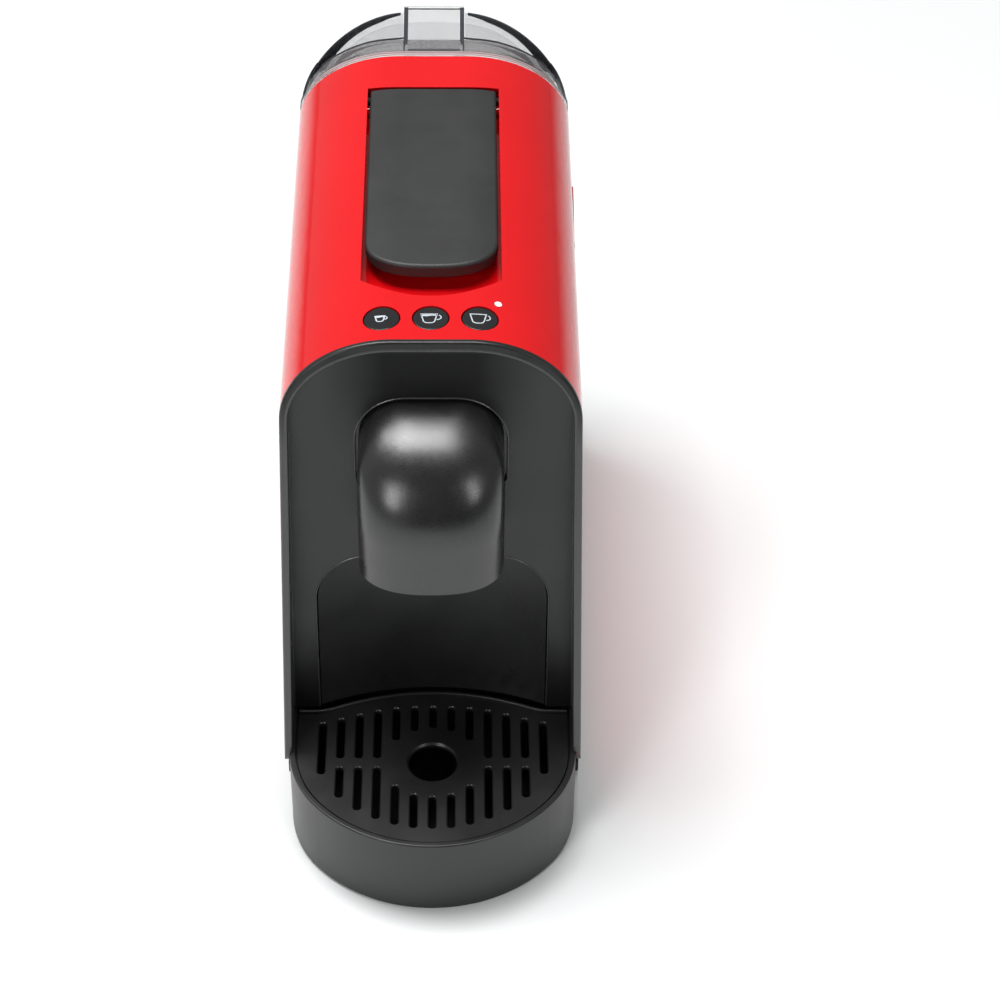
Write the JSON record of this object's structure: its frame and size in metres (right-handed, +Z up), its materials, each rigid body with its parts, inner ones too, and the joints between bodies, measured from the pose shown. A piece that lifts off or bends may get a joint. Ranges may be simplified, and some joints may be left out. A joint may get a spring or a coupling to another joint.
{
  "type": "pod coffee machine",
  "caption": "Compact pod coffee machine with an arched body, domed spout over a half-round drip tray, lever in the top, push buttons and a clear tank with lid at the rear.",
  "frame": {"origin": "bottom centre of the outer box, on the surface that the feet stand on", "axes": "+Z up, -Y the front with the spout, +X to the right seen from the front"},
  "size_m": [0.1368, 0.3568, 0.251],
  "materials": {
    "red_gloss": "high-gloss moulded",
    "black_panel": "fine satin",
    "black_spout": "soft satin",
    "black_lever": "fine spark-eroded matte",
    "black_tray": "satin",
    "black_base": "coarse matte",
    "button_black": "polished",
    "lamp_white": "translucent",
    "clear_smoke": "clear moulded",
    "rubber_black": "matte",
    "steel": "brushed",
    "steel_black": "blackened",
    "aluminium_cast": "cast",
    "brass_valve": "turned",
    "inner_plastic": "natural moulded",
    "board_green": "solder mask",
    "hose_clear": "silicone"
  },
  "bodies": {
    "housing": {"top_shell": "red_gloss", "front_panel": "black_panel", "spout_cover": "black_spout", "outlet_nozzle": "black_spout", "outlet_tube": "hose_clear", "base_plate": "black_base", "bin_rails": "black_base", "pump_cradle": "black_base", "base_screws": "steel", "feet": "rubber_black", "cord_gland": "rubber_black", "rear_panel": "black_base", "rear_screws": "steel", "switch_bezel": "red_gloss", "status_lamp": "lamp_white", "control_board": "board_green", "button_switches": "inner_plastic", "lever_shaft": "steel_black", "brew_frame": "inner_plastic", "guide_rods": "steel", "capsule_holder": "inner_plastic", "water_tube": "steel", "capsule_chute": "inner_plastic", "chassis": "inner_plastic", "pump": "inner_plastic", "pump_mounts": "rubber_black", "thermoblock": "aluminium_cast", "thermostat": "steel", "flow_meter": "inner_plastic", "hose_inlet": "hose_clear", "hose_suction": "hose_clear", "hose_pressure": "hose_clear", "hose_hot": "hose_clear", "tank_seat": "inner_plastic", "tank_seal": "rubber_black"},
    "lever": {"lever_handle": "black_lever", "lever_cams": "steel"},
    "piston": {"piston_carriage": "inner_plastic", "cam_pin": "steel"},
    "small_cup_button": {"button_small": "button_black"},
    "medium_cup_button": {"button_medium": "button_black"},
    "large_cup_button": {"button_large": "button_black"},
    "rocker": {"power_rocker": "button_black"},
    "tank": {"water_tank": "clear_smoke", "lid_pin": "steel", "tank_valve": "inner_plastic"},
    "lid": {"tank_lid": "clear_smoke"},
    "drawer": {"drip_tray": "black_tray", "capsule_bin": "black_panel"},
    "grid": {"drip_grid": "black_tray"}
  },
  "joints": [
    {"name": "lever_hinge", "type": "hinge", "parent": "housing", "child": "lever", "pos_m": [0, 0.1034, 0.2462], "axis": [-1, 0, 0], "range_deg": [0, 80]},
    {"name": "piston_slide", "type": "slide", "parent": "housing", "child": "piston", "axis": [0, 1, 0], "range_m": [0, 0.0301]},
    {"name": "small_cup_press", "type": "slide", "parent": "housing", "child": "small_cup_button", "axis": [0, 0, -1], "range_m": [0, 0.0012], "stiffness_N_per_m": 900},
    {"name": "medium_cup_press", "type": "slide", "parent": "housing", "child": "medium_cup_button", "axis": [0, 0, -1], "range_m": [0, 0.0012], "stiffness_N_per_m": 900},
    {"name": "large_cup_press", "type": "slide", "parent": "housing", "child": "large_cup_button", "axis": [0, 0, -1], "range_m": [0, 0.0012], "stiffness_N_per_m": 900},
    {"name": "rocker_tilt", "type": "hinge", "parent": "housing", "child": "rocker", "pos_m": [0.06318, 0.0735, 0.19], "axis": [0, 0, 1], "range_deg": [-5, 5]},
    {"name": "drawer_slide", "type": "slide", "parent": "housing", "child": "drawer", "axis": [0, -1, 0], "range_m": [0, 0.14]},
    {"name": "grid_lift", "type": "slide", "parent": "drawer", "child": "grid", "axis": [0, 0, 1], "range_m": [0, 0.05]},
    {"name": "tank_lift", "type": "slide", "parent": "housing", "child": "tank", "axis": [0, 0, 1], "range_m": [0, 0.12]},
    {"name": "lid_hinge", "type": "hinge", "parent": "tank", "child": "lid", "pos_m": [0, 0.1756, 0.2202], "axis": [-1, 0, 0], "range_deg": [0, 85]}
  ],
  "couplings": [
    {"joint": "piston_slide", "follows": "lever_hinge", "m_per_rad": 0.021486}
  ]
}
